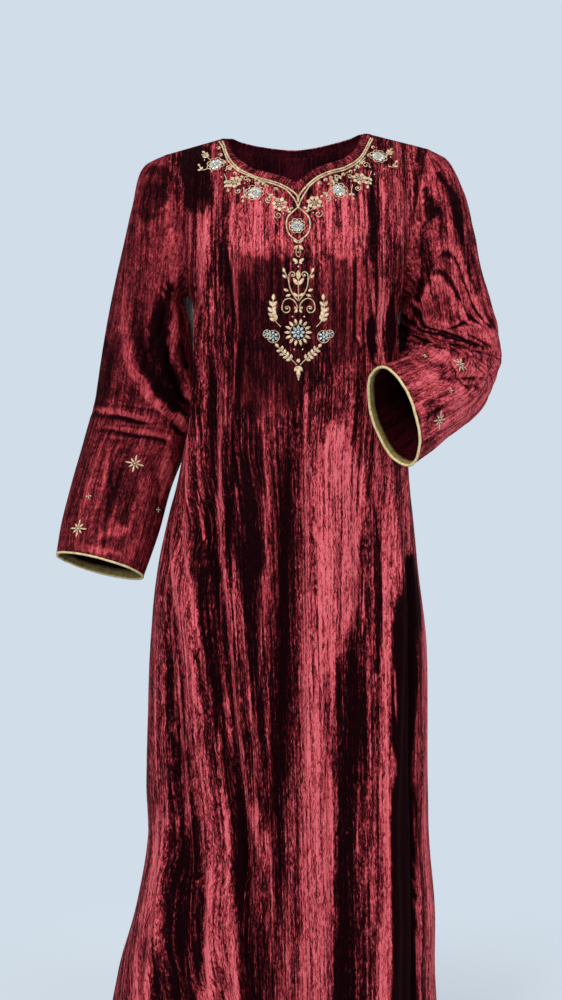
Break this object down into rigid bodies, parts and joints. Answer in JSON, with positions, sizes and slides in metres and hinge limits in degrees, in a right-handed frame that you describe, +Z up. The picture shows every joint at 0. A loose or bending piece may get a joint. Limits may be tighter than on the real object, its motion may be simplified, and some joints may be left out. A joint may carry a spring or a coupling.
{
  "type": "velvet jalabiya",
  "caption": "Long-sleeved ankle-length velvet dress in its worn shape, hollow, with a V neck band, gold cords, raised flower embroidery and gold cuff bindings.",
  "frame": {"origin": "middle of the neck opening, level with the tops of the shoulders, where the wearer holds the dress up", "axes": "+Z up, the wearer faces -Y, the wearer's right is -X"},
  "size_m": [0.6884, 0.3718, 1.385],
  "materials": {
    "velvet": "crushed velvet with a strong nap, dark red",
    "gold_binding": "satin, pale gold",
    "gold_thread": "metal thread, twisted",
    "rhinestones": "cut stones, silver"
  },
  "bodies": {
    "root": {"front_panel": "velvet", "back_panel": "velvet", "sleeve_right": "velvet", "sleeve_left": "velvet", "neck_band": "velvet", "cuff_binding_right": "gold_binding", "cuff_binding_left": "gold_binding", "neck_cord_upper": "gold_thread", "neck_cord_lower": "gold_thread", "silver_flower_right_shoulder": "rhinestones", "silver_flower_right_chest": "rhinestones", "silver_flower_left_chest": "rhinestones", "silver_flower_left_shoulder": "rhinestones", "gold_rosette_right": "gold_thread", "gold_rosette_left": "gold_thread", "leaf_flower_right": "gold_thread", "leaf_flower_left": "gold_thread", "ring_flower": "gold_thread", "pendant_ring": "gold_thread", "chain_leaf_upper": "gold_thread", "chain_leaf_lower": "gold_thread", "fan_stem": "gold_thread", "upper_curl_right": "gold_thread", "heart_curl_right": "gold_thread", "leaf_branch_right": "gold_thread", "lower_arc_right": "gold_thread", "stone_cluster_right": "rhinestones", "upper_curl_left": "gold_thread", "heart_curl_left": "gold_thread", "leaf_branch_left": "gold_thread", "lower_arc_left": "gold_thread", "stone_cluster_left": "rhinestones", "medallion_flower": "rhinestones", "pendant_leaf": "gold_thread", "star_right_upper": "gold_thread", "star_right_lower": "gold_thread", "star_left_upper": "gold_thread", "star_left_lower": "gold_thread"}
  },
  "joints": []
}
